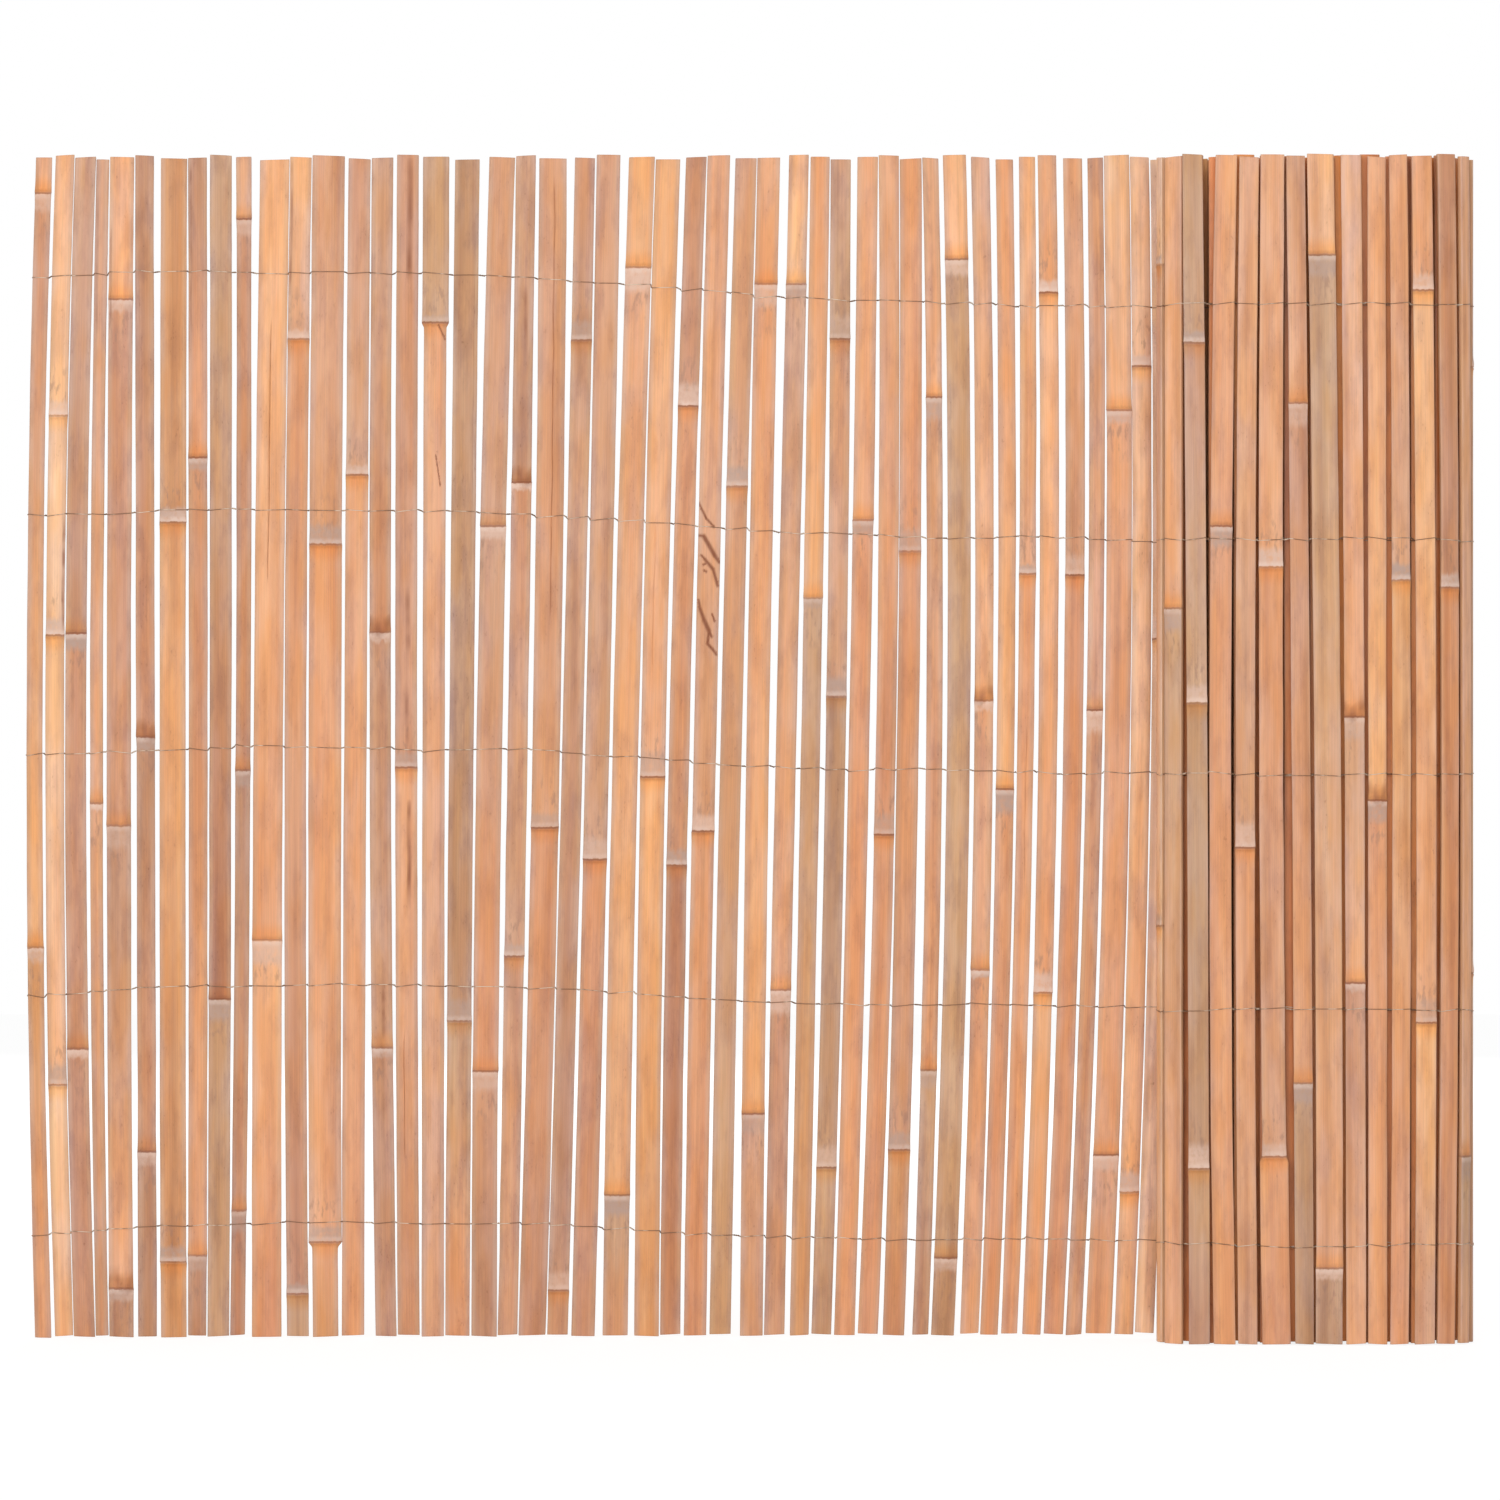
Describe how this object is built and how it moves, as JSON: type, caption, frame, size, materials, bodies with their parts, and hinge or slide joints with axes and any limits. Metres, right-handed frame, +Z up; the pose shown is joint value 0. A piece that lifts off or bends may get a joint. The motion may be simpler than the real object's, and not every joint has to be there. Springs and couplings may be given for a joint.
{
  "type": "bamboo fence panel",
  "caption": "Split-bamboo fence panel: upright slats bound by rows of thin wire, a flat wing at one end and the rest of the mat rolled up at the other.",
  "frame": {"origin": "centre of the bounding box at its bottom, on the surface that the slat ends stand on", "axes": "+X along the mat from the free end slat to the roll, +Z up along the slats, front face towards -Y"},
  "size_m": [1.2234, 0.08, 1.0024],
  "materials": {
    "bamboo_peach": "split bamboo, satin skin, peach tone",
    "bamboo_honey": "split bamboo, satin skin, honey tone",
    "bamboo_orange": "split bamboo, satin skin, orange tone",
    "bamboo_rose": "split bamboo, satin skin, rose tone",
    "bamboo_olive": "split bamboo, satin skin, olive tone",
    "bamboo_brown": "split bamboo, satin skin, brown tone",
    "galvanised_wire": "thin galvanised wire, dulled zinc"
  },
  "bodies": {
    "root": {"slat_01": "bamboo_honey", "slat_02": "bamboo_peach", "slat_03": "bamboo_rose", "slat_04": "bamboo_orange", "slat_05": "bamboo_rose", "slat_06": "bamboo_brown", "slat_07": "bamboo_honey", "slat_08": "bamboo_orange", "slat_09": "bamboo_olive", "slat_10": "bamboo_rose", "slat_11": "bamboo_peach", "slat_12": "bamboo_peach", "slat_13": "bamboo_orange", "slat_14": "bamboo_orange", "slat_15": "bamboo_rose", "slat_16": "bamboo_orange", "slat_17": "bamboo_honey", "slat_18": "bamboo_brown", "slat_19": "bamboo_orange", "slat_20": "bamboo_rose", "slat_21": "bamboo_honey", "slat_22": "bamboo_rose", "slat_23": "bamboo_rose", "slat_24": "bamboo_honey", "slat_25": "bamboo_peach", "slat_26": "bamboo_rose", "slat_27": "bamboo_orange", "slat_28": "bamboo_orange", "slat_29": "bamboo_orange", "slat_30": "bamboo_rose", "slat_31": "bamboo_honey", "slat_32": "bamboo_olive", "slat_33": "bamboo_orange", "slat_34": "bamboo_peach", "slat_35": "bamboo_orange", "slat_36": "bamboo_brown", "slat_37": "bamboo_olive", "slat_38": "bamboo_rose", "slat_39": "bamboo_honey", "slat_40": "bamboo_orange", "slat_41": "bamboo_peach", "slat_42": "bamboo_orange", "slat_43": "bamboo_brown", "slat_44": "bamboo_peach", "slat_45": "bamboo_rose", "slat_46": "bamboo_brown", "roll_back_slats": "bamboo_rose", "roll_right_slats": "bamboo_orange", "roll_front_slats": "bamboo_orange", "roll_left_slats": "bamboo_peach", "roll_inner_slats": "bamboo_brown", "binding_wire_1": "galvanised_wire", "binding_wire_2": "galvanised_wire", "binding_wire_3": "galvanised_wire", "binding_wire_4": "galvanised_wire", "binding_wire_5": "galvanised_wire"}
  },
  "joints": []
}
